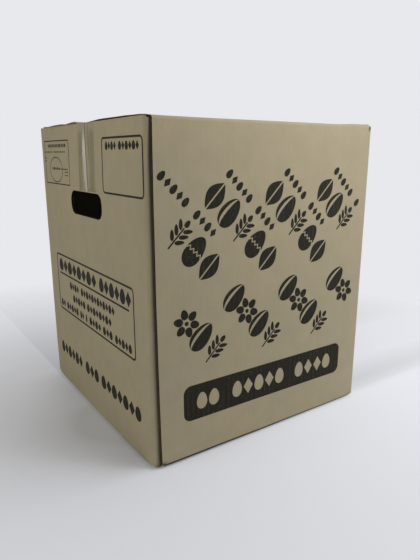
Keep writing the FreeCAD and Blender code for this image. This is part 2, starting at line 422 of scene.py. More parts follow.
def flap_along(side, along, depth, at_top):
    """Across a flap's width: outer flaps keep clear of the ends, inner flaps are narrower."""
    if side in OUTER_SIDES:
        clear = 0 if at_top else 4.7 * MM * step(depth, FOLD, FOLD + 1.5 * MM)
        return np.clip(along, -OUTER_END + clear, OUTER_END - clear)
    start, end = SPAN[side]
    narrow = BACK - INNER_INSET
    inside = -narrow + 2 * narrow * (along - start) / (end - start)
    return along + (inside - along) * step(depth, FOLD, FOLD + 2 * MM)


def crushed_ends(side, along, rise, run):
    """How much a bottom fold rises towards its two ends."""
    start, end = SPAN[side]
    near = np.minimum(along - start, end - along)
    return rise * bell(np.clip(near, 0, None), run, 1)


def flap_face(side, along, depth, at_top):
    """Height of a flap's outer face."""
    points = place(side, along, depth, 0)
    x, y = points[..., 0], points[..., 1]
    if at_top:
        return lid(x, y) if side in OUTER_SIDES else inner_lid(x, y)
    if side in OUTER_SIDES:
        rest, settled = 0.03 * MM, 12 * MM
        crest = rest + crushed_ends(side, along, 1.5 * MM, 3 * MM)
        if side == "front":
            crest = crest + knots(along, (-150, 0.6), (-110, 0.45), (-60, 0.6), (-10, 0.2), (30, 0.6),
                                  (65, 0.8), (90, 0.75), (150, 1.0))
    else:
        rest, settled = LAYER, 9 * MM
        crest = 0.1 * MM + crushed_ends(side, along, 2.8 * MM, 5 * MM)
    return BASE + crest + (rest - crest) * step(depth, FOLD, settled)


def flap_rows(side, along, at_top):
    """Rows from a wall's end to its flap's end: outer points, inner points, normals and ways."""
    sign = 1 if at_top else -1
    inset = sunk(side, along, TOP - FOLD if at_top else BASE + FOLD)
    crest = fold_level(side, along) if at_top else flap_face(side, along, FOLD, False)
    fold = np.array(ROUND_FOLD if at_top or side in OUTER_SIDES else SHARP_FOLD)
    out_part, left_part, turn = fold.T[..., None]
    way = path_length(fold[:, :2]) * FOLD
    spread = rays(np.linspace(0, QUARTER, len(fold)))[:, None] * (FOLD - BOARD)
    spot = flap_along(side, along, 0, at_top)
    over = place(side, spot, FOLD * out_part + inset * np.cos(turn), crest - sign * FOLD * left_part)
    under = place(side, spot, FOLD - spread[..., 0] + inset * np.cos(turn),
                  crest - sign * (FOLD - spread[..., 1]))
    depth = np.append(FLAP_DEPTHS, REACH if side in OUTER_SIDES else INNER_REACH)[:, None]
    spot = flap_along(side, along, depth, at_top)
    flap = place(side, spot, depth, flap_face(side, spot, depth, at_top))
    normals = (inward(side, -np.cos(turn) + 0 * along, sign * np.sin(turn)),
               inward(side, 0 * (depth + along), sign))
    inner = (under, flap - (0, 0, sign * BOARD))
    ways = (way, way[-1] + depth[:, 0] - FOLD)
    return [np.concatenate(each) for each in ((over, flap), inner, normals, ways)]


def wall_face(side, along, z):
    """A wall's outer face. The front panel's free edge isn't quite straight."""
    depth = sunk(side, along, z)
    if side == "front":
        along = along + free_edge(along, z)
    return place(side, along, depth, z)


def panel(side):
    """Outer points, inner points, normals and flat coordinates of a whole panel with its flaps."""
    along = columns(side)
    z = WALL_ROWS[:, None] + 0 * along
    walls = wall_face(side, along + 0 * z, z)
    out = inward(side, -1 + 0 * z, 0.0)
    low, low_in, low_out, low_ways = flap_rows(side, along, False)
    high, high_in, high_out, high_ways = flap_rows(side, along, True)
    if side == "front":
        for rows, share in ((low, 1.0), (low_in, 1.0), (high, 0.5), (high_in, 0.5)):
            rows[..., 0] += free_edge(rows[..., 0], rows[..., 2]) * share
    outer = np.concatenate([low[::-1], walls, high])
    inner = np.concatenate([low_in[::-1], walls - out * BOARD, high_in])
    normal = np.concatenate([low_out[::-1], out, high_out])
    way = np.concatenate([BASE + FOLD - low_ways[::-1], WALL_ROWS, TOP - FOLD + high_ways])
    flat = joined(along, way[:, None])
    return outer, inner, normal, flat, len(low), len(low) + len(WALL_ROWS)


def from_core(points):
    """Unit ways from a hand hole's core to points about its middle."""
    away = points - np.clip(points, -HOLE_CORE, HOLE_CORE)
    return away / np.linalg.norm(away, axis=1)[:, None]


def fine_outline(middle, spacing=0.6 * MM):
    """Even points round the hand hole, closed."""
    loop = rounded_box(HOLE_CORE, HOLE_CORNER, 24)
    way = path_length(loop)
    return resampled(loop, way, np.linspace(0, way[-1], int(way[-1] / spacing))) + middle


def hand_hole(sheet, side, first_row, rows):
    """Fills the panel's grid in to the hole, lines the hole's edge and returns the quads to keep."""
    along = columns(side)
    middle = np.array([HOLE_ALONG[side], HOLE_Z])
    x, z = along[BESIDE_HOLE:BESIDE_HOLE + HOLE_COLUMNS], HOLE_ROWS
    sides = ((x[:-1], z[0]), (x[-1], z[:-1]), (x[:0:-1], z[-1]), (x[0], z[::-1]))
    frame_loop = np.concatenate([joined(*each) for each in sides])
    around = frame_loop - middle
    edge = np.clip(around, -HOLE_CORE, HOLE_CORE) + from_core(around) * HOLE_CORNER + middle
    rings = np.array([frame_loop + (edge - frame_loop) * share for share in (0, 0.4, 0.75, 1)])
    faces = wall_face(side, rings[..., 0], rings[..., 1])
    out = inward(side, -1.0, 0.0)
    sheet.board(faces, faces - out * BOARD, out, rings)
    fine = fine_outline(middle)
    rim = wall_face(side, fine[:, 0], fine[:, 1])
    away = from_core(fine - middle)
    into = away[:, :1] * (*SIDES[side][2], 0) + away[:, 1:] * (0, 0, 1)
    # the hole's rims and flutes are near black with painted shade
    raw_edge(sheet, rim, rim - out * BOARD, into, FLUTE_DEPTH, fine, 0.1, rim="shaded_hole_rim", closed=True)
    flute_edge(sheet, rim, rim - out * BOARD, into, fine[:, 0], finish="shaded_hole_rim")
    keep = np.ones((rows, len(along) - 1), bool)
    low = first_row + BELOW_HOLE
    keep[low:low + len(z) - 1, BESIDE_HOLE:BESIDE_HOLE + len(x) - 1] = False
    return keep


def underside_painted_shade(points):
    """How much painted shade the front panel's bottom fold gets where it turns under, most at the glued
    corner.
    """
    along, z = points[..., 0], points[..., 2]
    crest = flap_face("front", along, FOLD, False)
    strength = knots(along, (-150, 1000), (-50, 1000), (10, 930), (65, 740), (110, 660), (150, 450))
    reach = knots(along, (-150, 3.3), (-70, 3.3), (-20, 3.2), (30, 3.03), (60, 2.95), (150, 2.95))
    return strength * (1 - step(z - crest, reach, reach + 0.6 * MM))


def add_panel(sheet, side):
    outer, inner, normal, flat, wall_first, wall_end = panel(side)
    keep = None
    if side not in OUTER_SIDES:
        keep = hand_hole(sheet, side, wall_first, len(outer) - 1)
    # painted shade along the front panel's bottom fold
    painted_shade = underside_painted_shade(outer) if side == "front" else 0.0
    sheet.board(outer, inner, normal, flat, keep, painted_shade)
    along = np.array([*SIDES[side][2], 0.0])
    rng = np.random.default_rng(SEEDS[side])
    deep, lip, lining = SIDE_EDGES[side]
    for column, into in ((0, along), (-1, -along)):
        free = side == "front" and column == 0
        for run in (slice(0, wall_end if free else wall_first + 1), slice(wall_end - 1, None)):
            cut = (run, column)
            deeps = deep * MM * rng.uniform(0.8, 1.2, len(outer[cut]))
            raw_edge(sheet, outer[cut], inner[cut], into, deeps, flat[cut], lip, lining)
    for row in (0, -1):
        end_of_flap(sheet, side, outer[row], inner[row], flat[row])


def end_of_flap(sheet, side, outer, inner, flat):
    into = inward(side, -1.0, 0.0)
    # lined with a finish dark with painted shade
    raw_edge(sheet, outer, inner, into, FLUTE_DEPTH, flat, lining="hollow")
    across = np.arange(flat[0, 0] + 1 * MM, flat[-1, 0] - 1 * MM, 0.7 * MM)
    spread = [resampled(line, flat[:, 0], across) for line in (outer, inner)]
    flute_edge(sheet, *spread, into, across, deep=2.0 * MM)


# ---- The upright corners
def turned_corner(sheet, first, second, centre, start_turn, tip, tip_shade=0.0):
    """A crease from the first wall's end to the second's. first and second are (side, along). Its crushed tip
    can be darkened with painted shade.
    """
    turns = start_turn + np.linspace(0, QUARTER, 6)
    start, end = rays(turns[[0, -1]])
    arc = (FOLD - CREASE) * (start + end) + CREASE * rays(turns)
    path = np.concatenate([[start * FOLD], arc, [end * FOLD]])
    way = path_length(path)
    share = way / way[-1]
    facing = np.concatenate([[start], rays(turns), [end]])
    z = WALL_ROWS[:, None] + 0 * share
    inset = blend(sunk(*second, z), sunk(*first, z), share)
    high = SLOT_HIGH + (tip - SLOT_HIGH) * np.sin(math.pi * np.clip(share, 0.02, 0.98)) ** 0.3

    def rows_to_tip(line, lean):
        """The wall's rows of a line, and two more that rise to the crushed tip and lean in."""
        rows = np.concatenate([centre + line - facing * inset[..., None], z[..., None]], -1)
        climb = np.concatenate([-facing * lean, (high - SLOT_HIGH)[:, None]], -1)
        return np.concatenate([rows, [rows[-1] + climb * rise for rise in (0.5, 1.0)]])

    outer = rows_to_tip(path, 0.25 * MM)
    inner = rows_to_tip(facing * (FOLD - BOARD), 0.05 * MM)
    height = outer[..., 2]
    flat = joined(way, height)
    ray = np.pad(facing, ((0, 0), (0, 1)))
    # painted shade on the crushed tip above the slot
    painted_shade = tip_shade * step(height, SLOT_HIGH - 1 * MM, SLOT_HIGH)
    sheet.board(outer, inner, ray, flat, painted_shade=painted_shade)
    # the top cap is lined with the dark crevice finish: painted shade
    for row, up, finish in ((0, -1, "edge"), (-1, 1, "crevice")):
        sheet.ribbon(outer[row], inner[row], (0, 0, up), finish, flat[row])


def upright_corners(sheet):
    turned_corner(sheet, ("front", SPAN["front"][1]), ("right", SPAN["right"][0]),
                  (RIGHT - FOLD, FRONT + FOLD), -QUARTER, TOP - 1.4 * MM, tip_shade=1.0)
    turned_corner(sheet, ("right", SPAN["right"][1]), ("back", SPAN["back"][1]),
                  (RIGHT - FOLD, BACK - FOLD), 0, TOP - 0.9 * MM)
    turned_corner(sheet, ("back", SPAN["back"][0]), ("left", SPAN["left"][1]),
                  (LEFT + FOLD, BACK - FOLD), QUARTER, TOP - 0.1 * MM)


def painted_shade_at(x, z):
    """How much painted shade the left panel gets as it rolls in behind the front panel's edge."""
    start = knots(z, (0, -147.2), (28, -147.2), (83, -147.6), (134, -148.0), (182, -148.0),
                  (229, -147.7), (273, -147.9), (315, -147.6), (330, -147.0), (345, -145.9), (360, -145.7))
    end = knots(z, (0, -142.4), (28, -142.5), (83, -143.6), (134, -144.0), (182, -145.0), (229, -145.1),
                (273, -145.4), (315, -145.9), (330, -145.2), (345, -144.5), (360, -144.3))
    return np.clip(0.8 * (x - start) / (end - start), 0, 0.86)


def glued_corner(sheet):
    """The left panel rolls round and runs on behind the front panel's edge to its glue tab."""
    centre = np.array([LEFT + ROLL, FRONT + BOARD + ROLL])
    degrees = np.linspace(0, 84, 15)
    turns = np.radians(degrees)
    ray = rays(turns)
    tail = np.array([(-143.9, -149.3), (-143.2, -149.15), (-142.4, -149.05), (-141.5, -149.0),
                     (-140.0, -149.0), (-136.6, -149.1)]) * MM
    outside = np.concatenate([centre - ray * ROLL, tail])
    inside = np.concatenate([centre - ray * (ROLL - BOARD), tail + np.array([0, BOARD])])

    def along_line(shares, values, on_tail):
        """A length in millimetres at each point: by degrees on the roll, and the same all along the tail."""
        return np.append(np.interp(degrees, shares, values), np.full(len(tail), on_tail)) * MM

    z = np.append(WALL_ROWS, [TOP - 2.6 * MM, TOP - 1.4 * MM, TOP - 0.5 * MM])[:, None]
    inset = sunk("left", SPAN["left"][0], z) * np.append(np.cos(turns), 0 * tail[:, 0])
    tip = along_line([0, 54, 66, 76, 84], [0, 0.2, 1.5, 2.2, 2.2], 2.4)
    toe = along_line([0, 30, 84], [0, 0, 2.4], 2.6)
    first_row = WALL_ROWS[0]
    z = z - tip * step(z, SLOT_HIGH, TOP) - toe * (1 - step(z, first_row, first_row + 4 * MM))
    outer, inner = (joined(line[:, 0] + inset, line[:, 1], z) for line in (outside, inside))
    flat = joined(SPAN["left"][0] - path_length(outside), z)
    facing = np.concatenate([ray, np.tile([0, 1], (len(tail), 1))])
    towards = -np.pad(facing, ((0, 0), (0, 1)))
    # painted shade at the foot of the roll, just above the floor
    foot_shade = 0.8 * (toe / (2.6 * MM)) * (1 - step(z, first_row - toe, first_row + 1 * MM))
    sheet.board(outer, inner, towards, flat, painted_shade=np.maximum(painted_shade_at(outer[..., 0], z), foot_shade))
    for row, up in ((0, -1), (-1, 1)):
        sheet.ribbon(outer[row], inner[row], (0, 0, up), "edge", flat[row])


def glue_tab(sheet):
    """The flat of the tab, glued behind the front panel."""
    root_x, free_x = CUT_EDGE + 6 * MM, LEFT + TAB_WIDTH
    across = np.linspace(root_x, free_x, 8)
    margin = 9 * MM + 12 * MM * (across - root_x) / (free_x - root_x)
    low, high = BASE + margin, TOP - margin
    z = low + (high - low) * np.linspace(0, 1, 30)[:, None]
    face = place("front", across, BOARD + 0.4 * MM, z)
    out = inward("front", -1.0, 0.0)
    back = face - out * BOARD
    flat = joined(across, z)
    sheet.board(face, back, out, flat)
    sheet.rim(face, back, "edge", flat, ((-1, 0, 0), (1, 0, 0), (0, 0, -1), (0, 0, 1)))


def carton(materials):
    sheet = Sheet()
    for side in SIDES:
        add_panel(sheet, side)
    upright_corners(sheet)
    glued_corner(sheet)
    glue_tab(sheet)
    return sheet.build("carton_board", materials)


# ---- Clear tape
def tape_folds(y, z):
    """How near a point is to each of the left end's two long wrinkles, and whether it lies between them."""
    first = knots(z, (270, -3), (277, -1), (282, 1), (289, 3.6), (303, 4.4), (316, 4.8), (330, 3.4),
                  (347, 0.6), (360, -0.2))
    second = knots(z, (270, -5), (277, -4.4), (289, -4.6), (303, -4.0), (316, -3.0), (330, -3), (347, -3),
                   (360, -3))
    past_first = step(y, first - 1 * MM, first + 1 * MM)
    inside = step(y, second - 1 * MM, second + 1 * MM) * (1 - past_first)
    return 0.75 * bell(y - first, 1.2 * MM), bell(y - second, 2.0 * MM), inside


def tape_air(y, z):
    """How much air lies under the tape on the left panel."""
    first, second, inside = tape_folds(y, z)
    pocket = inside * (0.85 + 0.15 * step(z, 0.3, 0.325))
    faint = 0.3 * bell(y + 13 * MM, 1.6 * MM) * step(z, 0.3, 0.33)
    at_end = 1 - step(z, TAPE_END + 0.5 * MM, TAPE_END + 2.5 * MM)
    cut_end = 0.45 * at_end * step(-y, -6 * MM, 4 * MM)
    return np.maximum.reduce([first, second, pocket, faint, cut_end]) * (1 - 0.35 * step(z, 0.325, 0.348))


def tape_grip(y, z):
    """How closely the tape sticks, which shows as two soft dark bands."""
    lower = 1 - step(z, 0.27, 0.34)
    bands = bell(y - (10.5 + 5 * lower) * MM, 7.5 * MM, 3) + bell(y - (-23 + 3 * lower) * MM, 7.8 * MM, 3)
    return bands * (1 - 0.9 * step(z, TOP - 12 * MM, TOP - 6 * MM))


def film_section(side, y, top_x):
    """One line of the top tape, from the lid's middle over a flap's end and down: point, then normal."""
    sign = -1 if side == "left" else 1
    flap_end = -CUT_EDGE if y < 0 and side == "left" else OUTER_END
    xs = np.append(top_x[:-1] * (flap_end / top_x[-1]), flap_end)
    heights = lid(sign * xs, y)
    middle_x, middle_z = RIGHT - FOLD, TOP - FOLD
    run, rise = flap_end - middle_x, heights[-1] - middle_z
    turn = math.atan2(run, rise) + math.acos(min(FOLD / math.hypot(run, rise), 1))
    leave_x, leave_z = middle_x + FOLD * math.sin(turn), middle_z + FOLD * math.cos(turn)
    bridge = np.array([0.25, 0.5, 0.75])
    angle = np.linspace(turn, QUARTER, 7)
    radius = FOLD - sunk(side, y, TOP - FOLD) * np.sin(angle)
    zs = np.linspace(TOP - FOLD - 2 * MM, TAPE_END, 22)
    zs[-1] += TOOTH / 2 * (1 + math.sin(y / TOOTH_PITCH * 2 * math.pi))

    def part(x, z, turned_by):
        return joined(sign * x, y, z, sign * np.sin(turned_by), 0.0, np.cos(turned_by))

    return np.concatenate([
        part(xs, heights, 0.0),
        part(blend(leave_x, flap_end, bridge), blend(leave_z, heights[-1], bridge), turn),
        part(middle_x + radius * np.sin(angle), middle_z + radius * np.cos(angle), angle),
        part(RIGHT - sunk(side, y, zs), zs, QUARTER),
    ])


def film_strip(name, materials, over, under, normal, flat, ends, sharp=40):
    """A thin strip of tape along X. ends says where its two ends look."""
    sheet = Sheet()
    sheet.grid(over, normal, "film", flat)
    sheet.grid(under, -normal, "film", flat)
    sheet.rim(over, under, "film", flat, (*ends, (0, -1, 0), (0, 1, 0)))
    return sheet.build(name, materials, merge=1e-7, sharp=sharp)


def top_tape(materials):
    """The whole top strip, raised along its wrinkles on the left panel."""
    ys = np.linspace(TAPE_LOW.y, TAPE_HIGH.y, 101)
    top_x = np.linspace(0, OUTER_END, 34)
    left, right = (np.array([film_section(side, y, top_x) for y in ys]) for side in ("left", "right"))
    line = np.concatenate([left[:, ::-1], right[:, 1:]], 1)
    at, normal = line[..., :3], line[..., 3:]
    first, second, inside = tape_folds(at[..., 1], at[..., 2])
    on_left = at[..., 0] < LEFT + 8 * MM
    ridge = np.maximum.reduce([first, second, inside * 0.5]) * on_left
    near_end = step(-at[..., 2], -TAPE_END - 12 * MM, -TAPE_END)
    lift = FILM_LIFT + ridge * 0.4 * MM * (1 - 0.6 * near_end)
    under = at + normal * lift[..., None]
    over = under + normal * FILM
    over[..., 2] = np.minimum(over[..., 2], TAPE_HIGH.z)
    flat = at[..., :2] - (0, TAPE_MIDDLE)
    down = (0, 0, -1)
    return film_strip("top_tape_film", materials, over, under, normal, flat, (down, down), sharp=60)


def bottom_tape(materials):
    xs = np.linspace(STRIP_LOW.x, STRIP_HIGH.x, 60)
    ys = np.linspace(STRIP_LOW.y, STRIP_HIGH.y, 12)
    flat = joined(xs, ys[:, None])
    over, under = (np.insert(flat, 2, height, axis=-1) for height in (STRIP_HIGH.z, STRIP_LOW.z))
    up = np.array([0, 0, 1])
    return film_strip("bottom_tape_film", materials, over, under, up, flat, ((-1, 0, 0), (1, 0, 0)))


# ---- Print: thin films of ink that follow the panel
def turned(points, centre, turn):
    """Local points turned by an angle and set at a centre."""
    points = np.asarray(points, float)
    c, s = math.cos(turn), math.sin(turn)
    x, y = points[..., 0], points[..., 1]
    return joined(centre[0] + x * c - y * s, centre[1] + x * s + y * c)


def egg_edges(length, width, *parts):
    """Curves across an egg, at parts of its half-width."""
    def edges(x):
        share = x / (length / 2)
        reach = width / 2 * np.sqrt(np.clip(1 - share ** 2, 0, 1)) * (1 - 0.16 * share)
        return [part * reach for part in parts]

    return edges


def divided(points, longest):
    """A line with its long runs cut into parts."""
    spread = []
    for start, end in zip(points, points[1:]):
        parts = max(1, int(np.linalg.norm(end - start) / longest))
        spread.extend(start + (end - start) * share for share in np.arange(parts) / parts)
    return np.array(spread + [points[-1]])


class Print:
    """Shapes of ink on one side. Most take a centre, a length, a width and a turn."""

    def __init__(self, side):
        self.side = side
        self.sheet = Sheet()

    def build(self, name, materials):
        return self.sheet.build(name, materials, merge=0, sharp=30)

    def patch(self, grid, finish="ink", lift=INK_LIFT):
        """A film of ink over a grid of (along, height) points."""
        grid = np.asarray(grid, float)
        out = inward(self.side, -1.0, 0.0)
        face = wall_face(self.side, grid[..., 0], grid[..., 1])
        over, under = face + out * lift, face + out * (lift - INK)
        self.sheet.grid(over, out, finish, grid)
        self.sheet.grid(under, -out, finish, grid)
        middle = over.reshape(-1, 3).mean(0)
        for cut in GRID_EDGES:
            if np.ptp(over[cut], axis=0).max() > 0.05 * MM:
                self.sheet.ribbon(over[cut], under[cut], over[cut] - middle, finish, grid[cut])

    def fill(self, centre, reach, edges, turn, count=15, rows=3, cut=0.04, **finish):
        """Ink between two curves: edges(x) gives the lower and the upper one for x from -reach to it."""
        x = -reach * np.cos(np.linspace(cut, math.pi - cut, count))
        low, high = edges(x)
        share = np.linspace(0, 1, rows)[:, None]
        self.patch(turned(joined(x, low + (high - low) * share), centre, turn), **finish)

    def bar(self, centre, length, height, turn=0.0, corner=None):
        """A bar with rounded corners."""
        corner = min(length, height) * 0.16 if corner is None else corner

        def edges(x):
            past = np.clip(np.abs(x) - (length / 2 - corner), 0, corner)
            reach = height / 2 - corner + np.sqrt(corner ** 2 - past ** 2)
            return -reach, reach

        count = int(np.clip(length / (4 * MM), 9, 70))
        rows = int(np.clip(height / (6 * MM), 2, 8))
        self.fill(centre, length / 2, edges, turn, count, rows, 0.03)

    def egg(self, centre, length, width, turn, **finish):
        self.fill(centre, length / 2, egg_edges(length, width, -1, 1), turn, 19, 5, 0.03, **finish)

    def diamond(self, centre, length, width, turn, **finish):
        def edges(x):
            reach = (1 - np.abs(x) / (length / 2)) * width / 2
            return -reach, reach

        self.fill(centre, length / 2, edges, turn, **finish)

    def shaded_egg(self, centre, length, width, turn):
        """An egg with a bare gleam down one side."""
        for low, high in ((-1, 0.3), (0.6, 1)):
            self.fill(centre, length / 2, egg_edges(length, width, low, high), turn)

    def leaf(self, centre, length, width, turn):
        """A pointed leaf with a bare midrib."""
        def edges(x):
            outer = np.cos(x / length * math.pi) ** 0.9 * width / 2
            return way * 0.8 * MM, way * np.maximum(outer, 1.0 * MM)

        for way in (-1, 1):
            self.fill(centre, length * 0.47, edges, turn)

    def sprig(self, centre, length, width, turn):
        """An ear of wheat: a stalk, three pairs of grains and one at the tip."""
        def spot(x, y):
            return turned((x, y), centre, turn)

        self.bar(spot(-length * 0.12, 0), length * 0.76, 1.7 * MM, turn)
        self.egg(spot(length * 0.41, 0), length * 0.24, width * 0.26, turn)
        for index in range(3):
            x = length * (-0.14 + 0.2 * index)
            for way in (-1, 1):
                grain = spot(x, way * width * 0.26)
                self.egg(grain, length * 0.32, width * 0.2, turn + way * 0.8)

    def flower(self, centre, size, turn, petals=6):
        for index in range(petals):
            angle = turn + 2 * math.pi * index / petals
            self.egg(turned((size * 0.32, 0), centre, angle), size * 0.35, size * 0.27, angle)
        self.egg(centre, size * 0.15, size * 0.15, turn)

    def cracked_egg(self, centre, length, width, turn):
        """Two parts of an egg with a zigzag gap between them."""
        half, half_gap, thinnest = length / 2, 0.9 * MM, 0.05 * MM
        x = np.linspace(-half, half, 201)
        reach = egg_edges(length, width, 1)(x)[0]
        widest = int(reach.argmax())
        y = np.linspace(-0.96, 0.96, 17) * reach.max()
        blunt = np.interp(np.abs(y), reach[:widest + 1], x[:widest + 1])
        pointed = np.interp(np.abs(y), reach[widest:][::-1], x[widest:][::-1])
        zigzag = np.tile([-1, 0, 1, 0], 5)[:len(y)] * 1.7 * MM
        share = np.linspace(0, 1, 5)[:, None]
        for start, end in ((blunt, np.maximum(zigzag - half_gap, blunt + thinnest)),
                           (np.minimum(zigzag + half_gap, pointed - thinnest), pointed)):
            self.patch(turned(joined(start + (end - start) * share, y), centre, turn))

    def outline(self, low, high, corner, line):
        """A rounded box drawn as a line, from its lower corner to its upper one."""
        low, high = np.array(low), np.array(high)
        middle, half = (low + high) / 2, np.abs(high - low) / 2
        loops = [divided(rounded_box(half - corner, corner - shrink, 7), 6 * MM) + middle
                 for shrink in (0, line)]
        even = np.linspace(0, 1, min(len(loop) for loop in loops))
        self.patch([resampled(loop, np.linspace(0, 1, len(loop)), even) for loop in loops])

    def ring(self, centre, radii, line):
        way = rays(np.linspace(0, 2 * math.pi, 49))
        self.patch([way * (np.array(radii) - cut) + centre for cut in (0, line)])

    def block(self, index, centre, height, pitch):
        self.bar(centre, pitch * 0.7 * (1.0 if index % 3 else 0.86), height)

    def bead(self, index, centre, height, pitch):
        """An upright egg or diamond."""
        draw = (self.egg, self.diamond)[index % 2]
        draw(centre, height, pitch * 0.92, QUARTER)


DIAGONAL = -math.pi / 4
UPRIGHT = DIAGONAL + QUARTER
PRINT_LEFT, PRINT_RIGHT = CUT_EDGE + 4 * MM, CUT_EDGE + 283.5 * MM
ROW_PERIOD = 76.5 * MM
MOTIF, BEAD = (34 * MM, 21.5 * MM), (10.4 * MM, 6.6 * MM)
FLOWER = 31 * MM


def along_diagonal(start, way):
    return start[0] + way * math.cos(DIAGONAL), start[1] + way * math.sin(DIAGONAL)


def big_motif(ink, kind, centre):
    """One of the shapes of the front print, upright across its diagonal row."""
    if kind == "flower":
        ink.flower(centre, FLOWER, UPRIGHT)
        return
    draw = {"egg": ink.shaded_egg, "leaf": ink.leaf, "sprig": ink.sprig, "cracked": ink.cracked_egg}[kind]
    draw(centre, *MOTIF, UPRIGHT)


def diagonal_rows(ink):
    """Rows of eggs, leaves, flowers and ears of wheat that fall to the right at 45 degrees."""
    upper = ("leaf", "egg", "sprig", "cracked", "leaf")
    lower = ("egg", "flower", "egg", "sprig")
    for row in range(-1, 4):
        shift = CUT_EDGE + (row - 1) * ROW_PERIOD
        for motifs, start in ((upper, (67 * MM + shift, 277 * MM)), (lower, (92 * MM + shift, 170 * MM))):
            for index, kind in enumerate(motifs):
                centre = along_diagonal(start, index * 24.6 * MM)
                if PRINT_LEFT + 13 * MM < centre[0] < PRINT_RIGHT - 12 * MM:
                    big_motif(ink, kind, centre)
        first = (CUT_EDGE + 8 * MM + row * ROW_PERIOD, 298 * MM)
        for index in range(10):
            centre = along_diagonal(first, index * 8.9 * MM)
            if index != 5 and PRINT_LEFT + 2 * MM < centre[0] < PRINT_RIGHT - 2 * MM:
                draw = (ink.egg, ink.diamond)[index % 2]
                draw(centre, *BEAD, UPRIGHT)


def front_banner(ink):
    """A black bar with bare eggs and diamonds left in it."""
    low, high, z = CUT_EDGE + 28 * MM, CUT_EDGE + 261 * MM, 64 * MM
    ink.bar(((low + high) / 2, z), high - low, 40 * MM, corner=9 * MM)
    start, end = low + 15 * MM, high - 15 * MM
    kinds = "ee edede edde"
    pitch = (end - start) / len(kinds)
    for index, kind in enumerate(kinds):
        if kind == " ":
            continue
        draw = ink.egg if kind == "e" else ink.diamond
        centre = (start + pitch * (index + 0.5), z)
        draw(centre, 19 * MM, 13 * MM, QUARTER, finish="bare", lift=INK_LIFT + 0.035 * MM)


def front_print(materials):
    ink = Print("front")
    diagonal_rows(ink)
    front_banner(ink)
    return ink.build("front_print", materials)


def end_print(materials):
    """The end panel: a date box, a stamp box, an advice box and one line along the bottom."""
    ink = Print("left")

    def at(y, z):
        """A point of the panel, in millimetres from the front face and the floor."""
        return FRONT + y * MM, z * MM

    def words(draw, low, high, *runs):
        """Runs of shapes where a line's printed words would be: (start, end, count) of each."""
        for start, end, count in runs:
            pitch = (end - start) / count
            for index in range(count):
                centre = at(start + pitch * (index + 0.5), (low + high) / 2)
                draw(index, centre, (high - low) * MM, abs(pitch) * MM)

    ink.outline(at(6.6, 276.5), at(101.5, 333.5), 5.5 * MM, 2.0 * MM)
    words(ink.bead, 320.5, 329, (92, 63.6, 4), (59, 13.6, 6))

    ink.outline(at(201.6, 279), at(293, 333.5), 2 * MM, 1.4 * MM)
    words(ink.block, 324.8, 328.8, (279, 211, 12))
    words(ink.block, 318.4, 320, (294, 262, 5), (258, 214, 7))
    words(ink.block, 311, 312.6, (295, 285, 2))
    words(ink.block, 307, 308.6, (295, 286, 2))
    words(ink.block, 294.2, 295.8, (219, 208, 2))
    words(ink.block, 290.2, 291.8, (219, 208, 2))
    words(ink.block, 297.2, 300.2, (266, 236, 5))
    ink.ring(at(250.5, 297.3), (24.5 * MM, 16 * MM), 1.1 * MM)
    ink.bar(at(222, 298.5), 28 * MM, 1.1 * MM)

    ink.outline(at(36, 108), at(274, 187), 6 * MM, 2.3 * MM)
    words(ink.bead, 164, 181, (265, 134, 8), (126.6, 42, 6))
    ink.bar(at(156, 160.5), 216 * MM, 2.3 * MM)
    words(ink.bead, 144, 154.5, (228, 195, 4), (188.6, 85.4, 12))
    words(ink.bead, 128.5, 139, (218.6, 175, 5), (170, 95, 8))
    words(ink.bead, 113, 123.5, (268, 250, 2), (245, 201, 5), (195, 182, 2), (176, 171, 1),
          (164, 127, 4), (122, 94, 3), (88, 45, 5))
    words(ink.bead, 41, 58, (281.6, 198, 6), (188, 143, 3), (136, 28, 7))
    return ink.build("end_print", materials)


# ---- Materials
def material(name):
    """A new material with one Principled shader."""
    made = bpy.data.materials.new(name)
    made.use_nodes = True
    tree = made.node_tree
    tree.nodes.clear()
    end = tree.nodes.new("ShaderNodeOutputMaterial")
    shader = tree.nodes.new("ShaderNodeBsdfPrincipled")
    tree.links.new(shader.outputs["BSDF"], end.inputs["Surface"])
    return made, tree, shader


def new(tree, kind):
    return tree.nodes.new("ShaderNode" + kind)


def feed(tree, sockets, *values):
    """Links or sets each socket."""
    for socket, value in zip(sockets, values):
        if isinstance(value, bpy.types.NodeSocket):
            tree.links.new(value, socket)
        else:
            socket.default_value = value


def surface(tree, shader, colour, rough, shine, height=None, depth=0.0):
    """A Principled shader's colour, roughness, shine and relief."""
    named = [shader.inputs[name] for name in ("Base Color", "Roughness", "Specular IOR Level", "Normal")]
    feed(tree, named, colour, rough, shine)
    if height is not None:
        relief = new(tree, "Bump")
        relief.inputs["Strength"].default_value = 1.0
        relief.inputs["Distance"].default_value = depth
        tree.links.new(height, relief.inputs["Height"])
        tree.links.new(relief.outputs["Normal"], named[3])


def maths(tree, operation, *values):
    node = new(tree, "Math")
    node.operation = operation
    feed(tree, node.inputs, *values)
    return node.outputs[0]


def mixed(tree, share, first, second, blend="MIX"):
    node = new(tree, "Mix")
    node.data_type = "RGBA"
    node.blend_type = blend
    feed(tree, (node.inputs[0], *node.inputs[6:8]), share, first, second)
    return node.outputs[2]


def between(tree, value, low, high, to_low=0.0, to_high=1.0):
    node = new(tree, "MapRange")
    node.clamp = True
    feed(tree, node.inputs, value, low, high, to_low, to_high)
    return node.outputs[0]


def space(tree):
    return new(tree, "TexCoord").outputs["Object"]


def noise(tree, scale, detail=3.0, roughness=0.55, vector=None):
    """Cloudy grain. Its vector is the place in metres, unless given."""
    node = new(tree, "TexNoise")
    named = [node.inputs[name] for name in ("Vector", "Scale", "Detail", "Roughness")]
    feed(tree, named, vector or space(tree), scale, detail, roughness)
    return node.outputs["Fac"]


def point_value(tree, name):
    """A value that the mesh carries at each of its points."""
    node = new(tree, "Attribute")
    node.attribute_name = name
    return node.outputs["Fac"]


